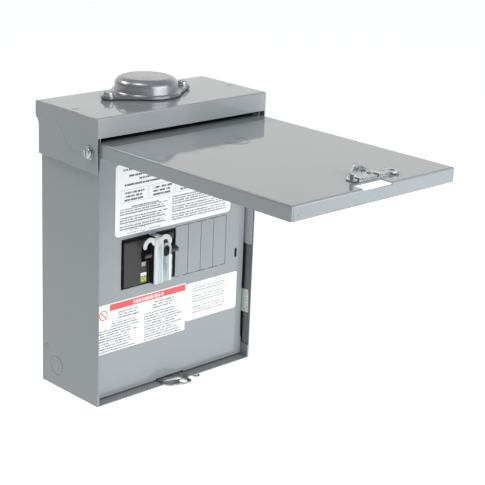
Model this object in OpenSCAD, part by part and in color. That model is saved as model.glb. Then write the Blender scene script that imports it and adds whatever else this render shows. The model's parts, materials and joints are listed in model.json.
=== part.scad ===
// Outdoor subpanel enclosure with a rain hood, a lift-up door, a dead front,
// two double-pole breakers with a lever interlock and their bus assembly.
// Millimetres. +X right, +Y into the wall, +Z up.
// The origin is the centre of the wall screw pattern, on the wall.

/* [Box] */
// Outside width of the box
box_w = 225.5; // [221:0.5:229]
// Depth of the box from its back sheet to its front edge
box_d = 98.5; // [96:0.5:104]
// Height of the whole enclosure, floor to hood
box_h = 318; // [314:1:330]
// Thickness of the enclosure sheet
sheet = 1.2; // [1:0.1:1.3]
// Height of the pressed feet that hold the back off the wall
standoff = 3; // [2:0.5:4]
// Sideways spacing of the wall screws
screw_span_x = 165; // [160:1:170]
// Upright spacing of the wall screws
screw_span_z = 230; // [226:1:232]

/* [Hood] */
// Outside width of the hood
hood_w = 237; // [236:0.5:240]
// Height of the lip along the front of the hood
hood_lip_h = 21; // [18:1:22]
// Height of the flaps at the sides of the hood
hood_flap_h = 58; // [52:1:60]

/* [Door] */
// Outside width of the door
door_w = 230.1; // [229.5:0.1:230.5]
// Depth of the folded edges of the door
door_flange = 15; // [12:0.5:16]
// Width of the notch that the strike passes through
door_notch_w = 41; // [40:0.5:44]

/* [Breakers] */
// Width of one breaker space
pitch = 19.05; // [18.9:0.05:19.2]
// Left edge of the first breaker space
row_x = -73; // [-75:0.5:-72]
// Lower edge of the breaker opening above the floor
window_z = 121.3; // [119:0.1:124]
// Height of the breaker opening
window_h = 56.7; // [55:0.1:58]

/* [Travel check] */
// Door angle, 90 is shut
door_turn = 0; // [0:1:90]
// Latch travel
latch_move = 0; // [0:0.5:7]
// Handle angle of both breakers, 32 is on
handle_turn = 0; // [0:1:32]
// Interlock lever angle
lever_turn = 0; // [-8:1:8]

/* [Hidden] */
$fn = 48;
spaces = 8;                                 // breaker spaces in the row
open_spaces = 4;                            // spaces with the twist-outs removed

// colours
enamel = [0.62, 0.65, 0.67];
zinc = [0.82, 0.83, 0.82];
dull_zinc = [0.5, 0.5, 0.5];
cast = [0.6, 0.59, 0.62];
moulded = [0.16, 0.16, 0.16];
jet = [0.07, 0.07, 0.07];
paper = [0.96, 0.96, 0.96];
galvanised = [0.7, 0.72, 0.74];
tin = [0.8, 0.8, 0.78];
nylon = [0.9, 0.9, 0.88];

// levels and planes that several pieces share; heights are above the box floor's underside
origin_z = 150;                             // centre of the wall screws
back_y = -standoff;                         // back face of the box
front_y = back_y - box_d;                   // front edge of the box
side_x = box_w / 2;                         // outer face of the box sides
top_z = box_h - sheet;                      // underside of the hood
flap_x = hood_w / 2;                        // outer face of the hood flaps
hood_front_y = front_y - 3.1;               // front face of the hood lip
trim_y = -89.6;                             // front face of the dead front
trim_back_y = trim_y + sheet;
trim_half_w = 108;
trim_top_z = 284;
window_top = window_z + window_h;
hinge_y = -91.4;
hinge_z = 280.3;
face_rise = 11.5;                           // door's outer face from its hinge axis
door_reach = 283.2;                         // door's free edge from its hinge axis
tongue = 24;                                // how far the door runs past its hinge, under the hood
pin_r = 2.5;
row_mid_x = row_x + 2 * pitch;              // between the two breakers
case_bottom = 111;
case_top = 188;
case_back_y = -33;
shoulder_y = -85.6;                         // front of a breaker case behind the dead front
face_y = -92.4;                             // front of a breaker's raised face
toggle_pivot_y = -81;
toggle_pivot_z = 159;
toggle_rest = 12;                           // how far the handles point down when off
pan_y = -16;                                // front face of the interior pan
insulator_y = pan_y - 12;
bus_y = insulator_y - 3;

module in_frame() translate([0, 0, -origin_z]) children();

// a box between two corners
module block(low, high) translate(low) cube(high - low);

// a round bar along Y from y0 to y1
module along_y(x, z, y0, y1, r) translate([x, y0, z]) rotate([-90, 0, 0]) cylinder(h = y1 - y0, r = r);

// a round bar along X from x0 to x1
module along_x(y, z, x0, x1, r) translate([x0, y, z]) rotate([0, 90, 0]) cylinder(h = x1 - x0, r = r);

// a flat outline in X and Z, given thickness along Y from y0 to y1
module upright(y0, y1) translate([0, y1, 0]) rotate([90, 0, 0]) linear_extrude(y1 - y0) children();

// a flat outline in Y and Z, given thickness along X from x0 to x1
module sideways(x0, x1) translate([x0, 0, 0]) rotate([90, 0, 90]) linear_extrude(x1 - x0) children();

// both of a pair, left and right
module both_sides() {
    children();
    mirror([1, 0, 0]) children();
}

// a rectangle with round corners, centred
module rounded(w, h, r) {
    square([w - 2 * r, h], center = true);
    square([w, h - 2 * r], center = true);
    for (x = [-1, 1], y = [-1, 1])
        translate([x * (w / 2 - r), y * (h / 2 - r)]) circle(r);
}

// a bar with round ends, centred on its length
module stadium(length, r) {
    square([length - 2 * r, 2 * r], center = true);
    for (x = [-1, 1]) translate([x * (length / 2 - r), 0]) circle(r);
}

// ---------------------------------------------------------------- box

knockout_groove = 0.35;
foot_r = 14;
foot_flat_r = 8.5;
wall_screw_r = 3.6;

// a knockout: a ring sheared most of the way through the sheet, lying in X and Y
module knockout_ring(r) translate([0, 0, -1]) linear_extrude(1 + knockout_groove)
    difference() {
        circle(r);
        circle(r - 0.7);
    }

// one pressed foot on the back sheet, axis along Y, flat on the wall
module pressed_foot() rotate([-90, 0, 0]) rotate_extrude()
    polygon([
        [0, -sheet], [foot_flat_r, -sheet], [foot_r - sheet, back_y - sheet],
        [foot_r, back_y - sheet], [foot_r, back_y], [foot_flat_r + sheet, 0], [0, 0]
    ]);

module foot_places() for (x = [-1, 1], z = [-1, 1])
    translate([x * screw_span_x / 2, 0, origin_z + z * screw_span_z / 2]) children();

// back and both sides, folded from one sheet
module box_shell() color(enamel) in_frame() difference() {
    union() {
        difference() {
            block([-side_x, front_y, 0], [side_x, back_y, top_z]);
            block([-side_x + sheet, front_y - 1, -1], [side_x - sheet, back_y - sheet, top_z + 1]);
            foot_places() along_y(0, 0, back_y - sheet - 1, 1, foot_r - 0.1);
        }
        foot_places() pressed_foot();
    }
    foot_places() along_y(0, 0, back_y - sheet - 1, 1, wall_screw_r);
    both_sides() for (place = [[-29, 25, 11], [-11, 43, 3]])
        translate([side_x, place[0], place[1]]) rotate([0, -90, 0]) knockout_ring(place[2]);
}

floor_flange_h = 16;
strike_notch = [38.8, 4.5];

// floor with upturned side flanges, knockouts and the notch that the strike drops through
module box_floor() color(enamel) in_frame() difference() {
    block([-side_x + sheet, front_y, 0], [side_x - sheet, back_y - sheet, floor_flange_h]);
    block([-side_x + 2 * sheet, front_y - 1, sheet],
          [side_x - 2 * sheet, back_y - sheet + 1, floor_flange_h + 1]);
    block([-strike_notch[0] / 2, front_y - 1, -1],
          [strike_notch[0] / 2, front_y + strike_notch[1], sheet + 1]);
    for (place = [[-62, -45, 22], [0, -40, 17], [60, -40, 14]])
        translate([place[0], place[1], 0]) {
            knockout_ring(place[2]);
            knockout_ring(place[2] * 0.68);
        }
    translate([stud_x, stud_y, -1]) cylinder(h = sheet + 2, r = stud_r + 0.05);
    for (x = strike_rivet_x) translate([x, strike_rivet_y, -1]) cylinder(h = sheet + 2, r = 2.05);
}

// ---------------------------------------------------------------- hood

hub_x = 0;
hub_y = -39;
hub_hole_r = 29;
tab_drop = 15;                              // height of the hood's back edge, against the wall

// top sheet with its front lip and the edge that rests on the wall
module hood_top() color(enamel) in_frame() difference() {
    union() {
        block([-flap_x, hood_front_y, top_z], [flap_x, 0, box_h]);
        block([-flap_x + sheet, hood_front_y, box_h - hood_lip_h],
              [flap_x - sheet, hood_front_y + sheet, top_z]);
        block([-flap_x + sheet, -sheet, box_h - tab_drop], [flap_x - sheet, 0, top_z]);
    }
    translate([hub_x, hub_y, top_z - 1]) cylinder(h = sheet + 2, r = hub_hole_r);
    both_sides() block([105, -57, top_z - 1], [113.5, -55.2, box_h + 1]);
    for (side = [-1, 1]) translate([hub_x + side * hub_ear_x, hub_y, top_z - 1])
        cylinder(h = sheet + 2, r = 1.95);
}

flap_bottom = box_h - hood_flap_h;
flap_back_y = -5.5;

// outline of a hood flap in Y and Z, stepped out to the wall at the top
module flap_outline() difference() {
    polygon([
        [hood_front_y, flap_bottom], [-52, flap_bottom + 0.6], [-50, flap_bottom + 1.8],
        [flap_back_y, flap_bottom + 2.2], [flap_back_y, top_z - 24],
        [-4.9, top_z - 20.5], [-3.2, top_z - 17.5], [-0.6, top_z - 15.5],
        [0, top_z - tab_drop + sheet], [0, top_z], [hood_front_y, top_z]
    ]);
    translate([hinge_y, hinge_z]) circle(pin_r + 0.02);
}

// side flap, with the fold that closes the gap to the box behind it
module hood_flap() {
    sideways(flap_x - sheet, flap_x) flap_outline();
    block([side_x + 0.02, flap_back_y - sheet, flap_bottom + 2.2],
          [flap_x - sheet, flap_back_y, top_z - 24]);
}

module hood_flap_right() color(enamel) in_frame() hood_flap();

module hood_flap_left() color(enamel) in_frame() mirror([1, 0, 0]) hood_flap();

// ---------------------------------------------------------------- hub cap

hub_ear_x = 52;
gasket_h = 1.6;
hub_flange_h = 2.6;
hub_dome_r = 35.6;
hub_top_r = 27.6;
hub_rise = 18.8;

// flange outline: a disc with two pointed ears
module hub_outline(grow = 0) {
    circle(hub_dome_r + 2.6 + grow);
    for (side = [-1, 1]) translate([side * hub_ear_x, 0]) circle(8.5 + grow);
    polygon([
        [-14, -34.6 - grow], [14, -34.6 - grow], [hub_ear_x + 1.5, -8 - grow],
        [hub_ear_x + 1.5, 8 + grow], [14, 34.6 + grow], [-14, 34.6 + grow],
        [-hub_ear_x - 1.5, 8 + grow], [-hub_ear_x - 1.5, -8 - grow]
    ]);
}

module hub_gasket() color(jet) in_frame() translate([hub_x, hub_y, box_h])
    linear_extrude(gasket_h) difference() {
        hub_outline(-1);
        circle(hub_hole_r);
        for (side = [-1, 1]) translate([side * hub_ear_x, 0]) circle(2.2);
    }

// pressed cap: ears and flange, then a dome with a flat top, hollow beneath
module hub_cap() color(cast) in_frame() translate([hub_x, hub_y, box_h + gasket_h]) {
    difference() {
        linear_extrude(hub_flange_h) difference() {
            hub_outline();
            circle(hub_dome_r - 2);
        }
        for (side = [-1, 1]) translate([side * hub_ear_x, 0, -1]) cylinder(h = 8, r = 2.2);
    }
    rotate_extrude($fn = 96) polygon(concat(
        [[hub_dome_r, 0], [hub_dome_r, hub_flange_h], [hub_dome_r - 0.8, hub_flange_h + 1],
         [hub_dome_r - 1.2, hub_rise - 8.5]],
        [for (a = [10:10:90]) [hub_top_r - 4 + 10.8 * cos(a), hub_rise - 8.5 + 8.1 * sin(a)]],
        [[0, hub_rise], [0, hub_rise - 2.4], [hub_top_r - 5, hub_rise - 2.6],
         [hub_dome_r - 4, hub_rise - 9], [hub_dome_r - 3, hub_flange_h], [hub_dome_r - 2.4, 0]]
    ));
}

// slotted pan-head screws with a lock washer on each ear
module hub_screws() color(zinc) in_frame() for (side = [-1, 1])
    translate([hub_x + side * hub_ear_x, hub_y, box_h + gasket_h + hub_flange_h]) {
        translate([0, 0, 1.2]) pan_head(5.4, 3.8);
        cylinder(h = 1.2, r = 6.6);
        translate([0, 0, -11]) cylinder(h = 11.5, r = 1.9);
    }

// a pan head with a slot, standing on its seat
module pan_head(r, h) difference() {
    rotate_extrude() polygon(concat(
        [[0, 0], [r, 0], [r, h * 0.45]],
        [for (a = [20:20:80]) [r * 0.62 + r * 0.38 * cos(a), h * 0.45 + h * 0.55 * sin(a)]],
        [[0, h]]
    ));
    translate([-r - 1, -0.6, h * 0.62]) cube([2 * r + 2, 1.2, h]);
}

// ---------------------------------------------------------------- hinge pins

// a shoulder screw through each hood flap into the edge of the door
module hinge_pins() color(zinc) in_frame() both_sides() {
    along_x(hinge_y, hinge_z, 113.2, flap_x + 1, pin_r);
    along_x(hinge_y, hinge_z, flap_x, flap_x + 0.9, 7.2);
    translate([flap_x + 0.9, hinge_y, hinge_z]) rotate([0, 90, 0]) pan_head(5.6, 3.4);
}

// ---------------------------------------------------------------- strike

strike_t = 1.8;
strike_half_w = 19;
strike_tip_y = -113.6;
strike_bend_y = -98;
strike_rivet_x = [-12, 12];
strike_rivet_y = -68;
padlock_hole = [4.4, -108];
padlock_r = 4.6;
strike_droop = 6;                           // how steeply the strike falls away past the floor

// the strike seen from above
module strike_outline() difference() {
    union() {
        translate([-strike_half_w, front_y]) square([2 * strike_half_w, 44]);
        polygon([
            [-strike_half_w, front_y + 0.5], [-18.4, -104.8], [-13, -109.4], [-4, -110.8],
            [1.5, strike_tip_y], [10.4, strike_tip_y], [14, -111.4], [13.6, -105.6],
            [strike_half_w, front_y + 0.5]
        ]);
    }
    translate([-3.5, -99.8]) rotate(-9) stadium(25, 1.9);
}

// the strike seen from the side in Y and Z: flat on the floor, then falling away
module strike_profile() {
    run = 18;
    polygon([
        [front_y + 45, sheet], [strike_bend_y, sheet],
        [strike_bend_y - run * cos(strike_droop), sheet - run * sin(strike_droop)],
        [strike_bend_y - run * cos(strike_droop) - strike_t * sin(strike_droop),
         sheet - run * sin(strike_droop) + strike_t * cos(strike_droop)],
        [strike_bend_y - strike_t * tan(strike_droop / 2), sheet + strike_t],
        [front_y + 45, sheet + strike_t]
    ]);
}

// a plate riveted to the floor behind the dead front, bent down where it leaves the box
module strike() color(dull_zinc) in_frame() difference() {
    intersection() {
        sideways(-strike_half_w - 1, strike_half_w + 1) strike_profile();
        translate([0, 0, -10]) linear_extrude(30) strike_outline();
    }
    translate([0, strike_bend_y, sheet]) rotate([strike_droop, 0, 0])
        translate([padlock_hole[0], padlock_hole[1] - strike_bend_y, -3]) cylinder(h = 8, r = padlock_r);
    for (x = strike_rivet_x) translate([x, strike_rivet_y, 0]) cylinder(h = 8, r = 2.05);
}

module strike_rivets() color(zinc) in_frame() for (x = strike_rivet_x) translate([x, strike_rivet_y, 0]) {
    translate([0, 0, sheet + strike_t]) cylinder(h = 1.6, r = 3.6);
    cylinder(h = sheet + strike_t, r = 2);
    translate([0, 0, -1.2]) cylinder(h = 1.2, r = 3.4);
}

stud_x = 46;
stud_y = -83.3;
stud_r = 2.5;
stud_drop = 13.4;                           // from the floor's underside to the bolt's head
nut_h = 3.6;

// bolt through the floor with a nut on each side of the sheet, for a bonding wire
module grounding_stud() color(zinc) in_frame() translate([stud_x, stud_y, 0]) {
    translate([0, 0, 1 - stud_drop]) cylinder(h = stud_drop + 9, r = stud_r);
    for (z = [sheet, -nut_h]) translate([0, 0, z]) cylinder(h = nut_h, r = 4.6, $fn = 6);
    translate([0, 0, -stud_drop]) rotate_extrude()
        polygon([[0, 0], [3.2, 0.3], [4.8, 1.4], [4.8, 2.6], [0, 2.6]]);
}

// ---------------------------------------------------------------- dead front

slit = 0.6;                                 // width of the slits sheared round a twist-out
fill_bottom = 120.2;
fill_top = 178.6;

// slits round one twist-out: full height at both sides, and broken by a bridge at top and bottom
module twist_out_slits(x) {
    for (edge = [0, pitch]) translate([x + edge - slit / 2, fill_bottom])
        square([slit, fill_top - fill_bottom]);
    for (z = [fill_bottom, fill_top], part = [0, 1])
        translate([x + part * (pitch / 2 + 1.6), z - slit / 2]) square([pitch / 2 - 1.6, slit]);
}

// right-hand edge of the dead front in X and Z, from the floor up, wider near the floor
dead_front_edge = [
    [trim_half_w + 2.2, 1.6], [trim_half_w + 2.2, 16.2], [trim_half_w + 3.3, 17.2],
    [trim_half_w + 3.3, 20], [trim_half_w + 0.9, 25], [trim_half_w + 0.4, 40],
    [trim_half_w, 60], [trim_half_w, trim_top_z]
];

// front sheet with the breaker opening, twist-outs, sealing slot and its folded edges
module dead_front() color(enamel) in_frame() difference() {
    union() {
        upright(trim_y, trim_back_y) polygon([
            for (side = dead_front_edge) side,
            for (i = [len(dead_front_edge) - 1:-1:0]) [-dead_front_edge[i][0], dead_front_edge[i][1]]
        ]);
        block([-trim_half_w, trim_y, trim_top_z - sheet], [trim_half_w, clip_y, trim_top_z]);
        both_sides() block([trim_half_w - sheet, trim_y, 60], [trim_half_w, clip_y, trim_top_z]);
    }
    block([-strike_half_w - 1.4, trim_y - 1, 0], [strike_half_w + 1.4, trim_back_y + 1, 4.2]);
    block([row_x, trim_y - 1, window_z],
          [row_x + open_spaces * pitch, trim_back_y + 1, window_top]);
    upright(trim_y - 1, trim_back_y + 1) for (i = [open_spaces:spaces - 1])
        twist_out_slits(row_x + i * pitch);
    upright(trim_y - 1, trim_back_y + 1) translate([96.2, 130.3]) rotate(90) stadium(11.4, 1.7);
    both_sides() along_y(dead_screw_x, dead_screw_z, trim_y - 1, trim_back_y + 1, 2.2);
}

dead_screw_x = 66;
dead_screw_z = 272;
clip_y = -80;                               // front face of the clips behind the dead front

// angle clips welded to the box sides, which the dead front is screwed to
module dead_front_clips() color(galvanised) in_frame() both_sides() difference() {
    union() {
        block([58, clip_y, dead_screw_z - 8], [side_x - sheet, clip_y + sheet, dead_screw_z + 8]);
        block([side_x - 2 * sheet, clip_y, dead_screw_z - 8],
              [side_x - sheet, clip_y + 14, dead_screw_z + 8]);
    }
    along_y(dead_screw_x, dead_screw_z, clip_y - 1, clip_y + sheet + 1, 2.05);
}

module dead_front_screws() color(zinc) in_frame() both_sides() {
    along_y(dead_screw_x, dead_screw_z, trim_y - 0.1, clip_y + 4, 2);
    translate([dead_screw_x, trim_y, dead_screw_z]) rotate([90, 0, 0]) pan_head(4.4, 2.4);
}

label_t = 0.2;

// a paper label on the front of the dead front, centred at x, z
module front_label(x, z, w, h, r) upright(trim_y - label_t, trim_y)
    translate([x, z]) rounded(w, h, r);

module label_wiring() color(paper) in_frame() front_label(1.2, 221.5, 166.5, 79, 4.5);

module label_hazard() color(paper) in_frame() front_label(-42.2, 81.5, 124.6, 56, 0.6);

module label_torque() color(paper) in_frame() front_label(59.9, 85.2, 78.4, 44.5, 2.6);

// labels on the inside of the right-hand wall
module label_wall_upper() color(paper) in_frame()
    sideways(side_x - sheet - label_t, side_x - sheet) translate([-93.2, 185]) rounded(13.5, 92, 2);

module label_wall_lower() color(paper) in_frame()
    sideways(side_x - sheet - label_t, side_x - sheet) translate([-91.6, 69]) rotate(-4) rounded(13, 28, 0.8);

// ---------------------------------------------------------------- breakers

case_gap = 0.25;
case_w = 2 * pitch - 2 * case_gap;
face_inset = 1.5;
face_bottom = window_z + 2.4;
face_top = window_top - 3.4;
well_bottom = 150;
well_top = 166;
toggle_w = 9.6;
shaft_r = 2;
shaft_stub = 1.8;                           // how far the shaft stands out of each side of a handle
toggle_r = 4.4;
toggle_reach = 17.2;                        // from the pivot to the tip of a handle
toggle_shift = 2.6;                         // a handle sits to the right of its pole's centre
stab_slot_w = 3.2;
stab_z = [case_top - 14, case_top];

function pole_x(i) = row_x + (i + 0.5) * pitch;

// a breaker's one handle is on its right-hand pole
function toggle_x(first_pole) = pole_x(first_pole + 1) + toggle_shift;

// the hollow that a breaker's handle swings in, cut along X
module toggle_well(x0, x1) sideways(x0, x1) polygon([
    [face_y - 1, well_bottom - 1.5], [face_y - 1, well_top + 1.5],
    [shoulder_y, well_top + 0.5], [-73.5, 167], [-73.5, 151], [shoulder_y, well_bottom]
]);

// two-pole case: body, raised face, handle well, terminal pockets, jaw slots and rail notch
module breaker_case(first_pole) {
    x0 = row_x + first_pole * pitch + case_gap;
    x1 = x0 + case_w;
    difference() {
        union() {
            block([x0, shoulder_y, case_bottom], [x1, case_back_y, case_top]);
            block([x0 + face_inset, face_y, face_bottom], [x1 - face_inset, shoulder_y + 1, face_top]);
        }
        // bevelled top and bottom of the raised face
        for (edge = [[face_bottom, 40], [face_top, 50]])
            translate([x0 - 1, face_y, edge[0]]) rotate([edge[1], 0, 0])
                translate([0, -2, -1]) cube([case_w + 2, 2.05, 2]);
        toggle_well(toggle_x(first_pole) - toggle_w / 2 - 0.8, toggle_x(first_pole) + toggle_w / 2 + 0.8);
        for (pole = [first_pole, first_pole + 1]) {
            // pocket for the wire terminal
            block([pole_x(pole) - 6.6, -66, case_bottom - 1], [pole_x(pole) + 6.6, -50, case_bottom + 13]);
            // slot for the bus stab
            block([pole_x(pole) - stab_slot_w / 2, -60, stab_z[0] - 0.5],
                  [pole_x(pole) + stab_slot_w / 2, case_back_y + 1, case_top + 1]);
        }
        // holes for the ends of the handle's shaft
        along_x(toggle_pivot_y, toggle_pivot_z, toggle_x(first_pole) - toggle_w / 2 - shaft_stub - 0.1,
                toggle_x(first_pole) + toggle_w / 2 + shaft_stub + 0.1, shaft_r + 0.06);
        // groove beside the outer pole, along the lower face
        block([x1 - face_inset - 3.6, face_y - 1, face_bottom - 1],
              [x1 - face_inset - 0.8, face_y + 2.4, face_top + 1]);
        // notch that hooks on the rail
        block([x0 - 1, case_back_y - 9, case_bottom - 1], [x1 + 1, case_back_y + 1, rail_top]);
        // shallow seats for the status window and the rating label
        window_seat(first_pole, 0);
        rating_seat(first_pole, 0);
    }
}

module breaker_left() color(moulded) in_frame() breaker_case(0);

module breaker_right() color(moulded) in_frame() breaker_case(2);

// a handle: a round hub with a tapering lever, outline in Y and Z about the pivot
module toggle_outline() rotate(toggle_rest) union() {
    circle(toggle_r);
    polygon([
        [0, toggle_r - 0.4], [1.1 - toggle_reach, 2.4], [-toggle_reach, 1.4],
        [-toggle_reach, -1.6], [1.1 - toggle_reach, -2.6], [0, -toggle_r + 0.4]
    ]);
}

// handle with the ends of its shaft, which turn in the sides of the well
module breaker_handle(first_pole) translate([0, toggle_pivot_y, toggle_pivot_z]) rotate([-handle_turn, 0, 0]) {
    x = toggle_x(first_pole);
    sideways(x - toggle_w / 2, x + toggle_w / 2) toggle_outline();
    along_x(0, 0, x - toggle_w / 2 - shaft_stub, x + toggle_w / 2 + shaft_stub, shaft_r);
}

module breaker_left_handle() color(jet) in_frame() breaker_handle(0);

module breaker_right_handle() color(jet) in_frame() breaker_handle(2);

// box lug and clamp screw in each pole's terminal pocket
module breaker_terminals(first_pole) for (pole = [first_pole, first_pole + 1]) {
    difference() {
        block([pole_x(pole) - 5.8, -65, case_bottom + 1], [pole_x(pole) + 5.8, -51, case_bottom + 13]);
        block([pole_x(pole) - 3.8, -60.5, case_bottom - 1], [pole_x(pole) + 3.8, -53, case_bottom + 14]);
    }
}

module breaker_left_terminals() color(tin) in_frame() breaker_terminals(0);

module breaker_right_terminals() color(tin) in_frame() breaker_terminals(2);

// status window and rating label on the right-hand pole's face, set flush
module window_seat(first_pole, raise) upright(face_y - 1 + raise, face_y + 0.6)
    translate([pole_x(first_pole + 1) + 0.2, 146.2]) square([5.6, 4.6], center = true);

module rating_seat(first_pole, raise) upright(face_y - 1 + raise, face_y + 0.3)
    translate([pole_x(first_pole + 1) + 0.4, 131]) square([8, 10.6], center = true);

module breaker_left_window() color([0.5, 0.5, 0.5]) in_frame() window_seat(0, 1);

module breaker_right_window() color([0.5, 0.5, 0.5]) in_frame() window_seat(2, 1);

module rating_label_left() color([0.8, 0.85, 0.4]) in_frame() rating_seat(0, 1);

module rating_label_right() color([0.8, 0.85, 0.4]) in_frame() rating_seat(2, 1);

// ---------------------------------------------------------------- interlock

bracket_t = 1.1;
bracket_y = -98;                         // front face of the interlock bracket
lever_t = 1.3;
lever_y = bracket_y - lever_t - 0.15;       // front face of the lever
lever_x = -30.6;
lever_z = 170.8;
lever_pin_r = 1.9;
bracket_left = [-34, -21];
loop_x = -16.6;

// front of the bracket in X and Z: a strip, and beside it a leg with a round, pierced head
module bracket_outline() difference() {
    union() {
        translate([bracket_left[0], window_z + 1.1])
            square([bracket_left[1] - bracket_left[0], window_h - 3.1]);
        translate([bracket_left[1] - 1, window_z + 1.1]) square([12.9, 37]);
        translate([loop_x, 159.2]) circle(7.3);
    }
    translate([loop_x, 157.2]) rotate(90) stadium(12.4, 4.3);
    translate([lever_x, lever_z]) circle(lever_pin_r);
}

// bridge of zinc-plated strip, welded behind the dead front above and below the opening
module interlock_bracket() color(zinc) in_frame() {
    upright(bracket_y, bracket_y + bracket_t) bracket_outline();
    block([bracket_left[0], bracket_y + 0.1, window_top - 2.1],
          [bracket_left[1] - 4, trim_back_y + bracket_t, window_top - 1]);
    block([bracket_left[0], trim_back_y, window_top - 2.1],
          [bracket_left[1] - 4, trim_back_y + bracket_t, window_top + 8]);
    block([bracket_left[0], bracket_y + 0.1, window_z + 0.2],
          [bracket_left[1], trim_back_y + bracket_t, window_z + 1.3]);
    block([bracket_left[0], trim_back_y, window_z - 8],
          [bracket_left[1], trim_back_y + bracket_t, window_z + 1.3]);
}

module interlock_pivot() color(zinc) in_frame() {
    along_y(lever_x, lever_z, lever_y - 0.1, bracket_y + bracket_t, lever_pin_r);
    along_y(lever_x, lever_z, lever_y - 0.5, lever_y - 0.05, 3.2);
}

hook_x = 10.6;                              // centre of a hook's curve, from the pivot
hook_r = 7;                                 // radius of its middle line
hook_w = 5.2;

// a hooked arm: an arc that leaves the hub and turns down to a round tip
module lever_arm() translate([hook_x, -3.6]) {
    intersection() {
        difference() {
            circle(hook_r + hook_w / 2);
            circle(hook_r - hook_w / 2);
        }
        translate([-6, 0]) square([20, 20]);
    }
    translate([hook_r, 0]) circle(hook_w / 2 - 0.1);
}

module interlock_lever() color(paper) in_frame()
    translate([lever_x, 0, lever_z]) rotate([0, lever_turn, 0])
        upright(lever_y, lever_y + lever_t) difference() {
            union() {
                lever_arm();
                mirror([1, 0]) lever_arm();
                polygon([
                    [-2.4, -5.6], [2.4, -5.6], [8, -1.5], [8, 2.6],
                    [3, 4.4], [-3, 4.4], [-8, 2.6], [-8, -1.5]
                ]);
            }
            circle(lever_pin_r + 0.06);
        }

// ---------------------------------------------------------------- interior

pan_x = [-93, 92];
pan_z = [98, 258];
pan_t = 1.5;

// galvanised pan on folded legs that stand on the back sheet
module interior_pan() color(galvanised) in_frame() {
    block([pan_x[0], pan_y, pan_z[0]], [pan_x[1], pan_y + pan_t, pan_z[1]]);
    for (z = [pan_z[0], pan_z[1] - pan_t])
        block([pan_x[0], pan_y, z], [pan_x[1], back_y - sheet, z + pan_t]);
}

rail_top = 119;

// angle that the outer ends of the breakers hook onto
module breaker_rail() color(galvanised) in_frame() {
    block([row_x, pan_y - pan_t, 104], [row_x + spaces * pitch, pan_y, rail_top]);
    block([row_x, case_back_y - 7, rail_top - pan_t], [row_x + spaces * pitch, pan_y, rail_top]);
}

bar_a_z = [150, 164];
bar_b_z = [192, 206];
stab_w = [175, 187];                        // heights that every stab spans
insulator_x = [row_x - 18, row_x + spaces * pitch + 8];

// moulded block that carries both bus bars, with a raised fence between their ends
module bus_insulator() color(jet) in_frame() {
    block([insulator_x[0], insulator_y, 146], [insulator_x[1], pan_y, 210]);
    for (x = [insulator_x[0], insulator_x[1] - 14])
        block([x, insulator_y, 209], [x + 14, pan_y, 246]);
}

// plug-in stabs of one bus bar, on every second space
module stabs(first, root_z) for (i = [first:2:spaces - 1]) {
    block([pole_x(i) - 6, bus_y, min(root_z, stab_w[0])],
          [pole_x(i) + 6, insulator_y, max(root_z, stab_w[1])]);
    block([pole_x(i) - 1, bus_y - 20, stab_w[0]], [pole_x(i) + 1, bus_y, stab_w[1]]);
}

bus_hole_r = 2.55;
riser_a_x = row_x - 11;                     // upright ends of the two bus bars, up to the feeder lugs
riser_b_x = row_x + spaces * pitch + 1;

module bus_bar_a() color(tin) in_frame() difference() {
    union() {
        block([riser_a_x - 6, bus_y, bar_a_z[0]], [row_x + spaces * pitch - 2, insulator_y, bar_a_z[1]]);
        block([riser_a_x - 6, bus_y, bar_a_z[0]], [riser_a_x + 6, insulator_y, 244]);
        stabs(1, bar_a_z[1] - 1);
    }
    along_y(riser_a_x, 214, bus_y - 1, insulator_y + 1, bus_hole_r);
    along_y(row_x + 90, 157, bus_y - 1, insulator_y + 1, bus_hole_r);
}

module bus_bar_b() color(tin) in_frame() difference() {
    union() {
        block([row_x + 2, bus_y, bar_b_z[0]], [riser_b_x + 6, insulator_y, bar_b_z[1]]);
        block([riser_b_x - 6, bus_y, bar_b_z[0]], [riser_b_x + 6, insulator_y, 244]);
        stabs(0, bar_b_z[0] + 1);
    }
    along_y(riser_b_x, 214, bus_y - 1, insulator_y + 1, bus_hole_r);
    along_y(row_x + 60, 199, bus_y - 1, insulator_y + 1, bus_hole_r);
}

// pan-head screws that hold the bus bars to the moulded block
module bus_screws() color(zinc) in_frame()
    for (place = [[riser_a_x, 214], [row_x + 90, 157], [riser_b_x, 214], [row_x + 60, 199]])
        translate([place[0], bus_y, place[1]]) rotate([90, 0, 0]) {
            pan_head(4.6, 2.8);
            translate([0, 0, bus_y - insulator_y]) cylinder(h = insulator_y - bus_y + 0.1, r = 2.5);
        }

lug_w = 17;
lug_places = [riser_a_x, riser_b_x];

// aluminium box lugs for the incoming feeder, wire hole along Z
module main_lugs() color(tin) in_frame() for (x = lug_places) difference() {
    block([x - lug_w / 2, bus_y - 22, 224], [x + lug_w / 2, bus_y, 244]);
    translate([x, bus_y - 10, 223]) cylinder(h = 22, r = 6.2);
    along_y(x, 234, bus_y - 23, bus_y - 10, 4.05);
}

// socket-head clamp screws of the feeder lugs
module main_lug_screws() color(zinc) in_frame() for (x = lug_places) difference() {
    along_y(x, 234, bus_y - 25, bus_y - 16.6, 4);
    along_y(x, 234, bus_y - 26, bus_y - 20, 2.3);
}

neutral_x = [-52, 34];
neutral_z = 62;
neutral_y = -24;
terminal_pitch = 8.6;
terminals = 9;

// a row of clamp screws along a terminal bar's front face
module bar_screws(x0, z, y) for (i = [0:terminals - 1])
    translate([x0 + i * terminal_pitch, y, z]) rotate([90, 0, 0]) difference() {
        cylinder(h = 3.4, r = 2.9);
        translate([-3.5, -0.5, 2]) cube([7, 1, 3]);
    }

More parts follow.
